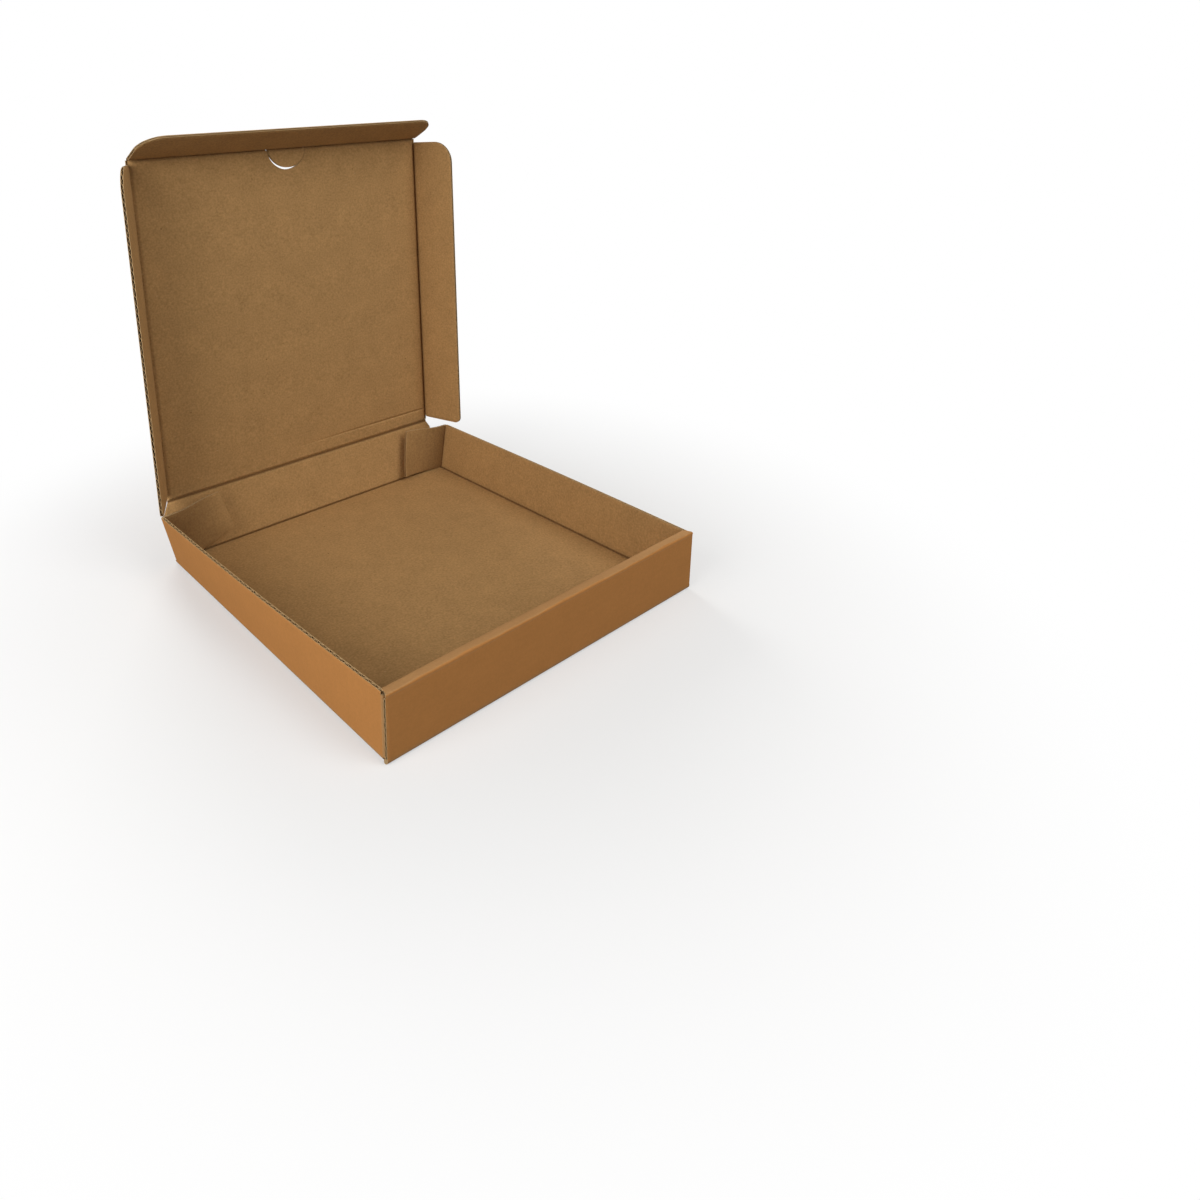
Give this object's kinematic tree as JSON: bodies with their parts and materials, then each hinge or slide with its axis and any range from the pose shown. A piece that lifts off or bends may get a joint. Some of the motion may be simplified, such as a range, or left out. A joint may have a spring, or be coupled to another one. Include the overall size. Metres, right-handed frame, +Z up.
{
  "type": "pizza box",
  "caption": "Shallow square corrugated-board box with a hinged lid, tuck flap, side flaps and rolled front wall, for carrying a pizza.",
  "frame": {"origin": "centre of the tray's underside", "axes": "+X to the box's right seen from its front, +Y to the rear wall and the lid's hinge, +Z up"},
  "size_m": [0.3293, 0.342, 0.3681],
  "materials": {
    "corrugated_board": "matte kraft liner"
  },
  "bodies": {
    "tray": {"tray": "corrugated_board"},
    "rear_wall": {"rear_wall": "corrugated_board"},
    "lid_panel": {"lid_panel": "corrugated_board"},
    "lid_left_flap": {"lid_left_flap": "corrugated_board"},
    "lid_right_flap": {"lid_right_flap": "corrugated_board"},
    "tuck_flap": {"tuck_flap": "corrugated_board"},
    "thumb_tab": {"thumb_tab": "corrugated_board"}
  },
  "joints": [
    {"name": "rear_wall_fold", "type": "hinge", "parent": "tray", "child": "rear_wall", "pos_m": [0, 0.1558, 0], "axis": [1, 0, 0], "range_deg": [-18.6, 19.6]},
    {"name": "lid_hinge", "type": "hinge", "parent": "rear_wall", "child": "lid_panel", "pos_m": [0, 0.17208, 0.05046], "axis": [1, 0, 0], "range_deg": [-69, 72.6]},
    {"name": "tuck_flap_fold", "type": "hinge", "parent": "lid_panel", "child": "tuck_flap", "pos_m": [0, 0.18454, 0.3493], "axis": [1, 0, 0], "range_deg": [-25.8, 27.1]},
    {"name": "lid_left_flap_fold", "type": "hinge", "parent": "lid_panel", "child": "lid_left_flap", "pos_m": [-0.1488, 0.17358, 0.05041], "axis": [0, 0.0366, 0.9993], "range_deg": [-45.8, 48.2]},
    {"name": "lid_right_flap_fold", "type": "hinge", "parent": "lid_panel", "child": "lid_right_flap", "pos_m": [0.1488, 0.17358, 0.05041], "axis": [0, -0.0366, -0.9993], "range_deg": [-27.7, 29.1]},
    {"name": "thumb_tab_fold", "type": "hinge", "parent": "tuck_flap", "child": "thumb_tab", "pos_m": [0, 0.18454, 0.3493], "axis": [1, 0, 0], "range_deg": [-7, 58]}
  ],
  "couplings": [
    {"joint": "rear_wall_fold", "follows": "lid_hinge", "ratio": 0.2686},
    {"joint": "tuck_flap_fold", "follows": "lid_hinge", "ratio": 0.3719},
    {"joint": "lid_left_flap_fold", "follows": "lid_hinge", "ratio": 0.66116},
    {"joint": "lid_right_flap_fold", "follows": "lid_hinge", "ratio": 0.39945}
  ]
}
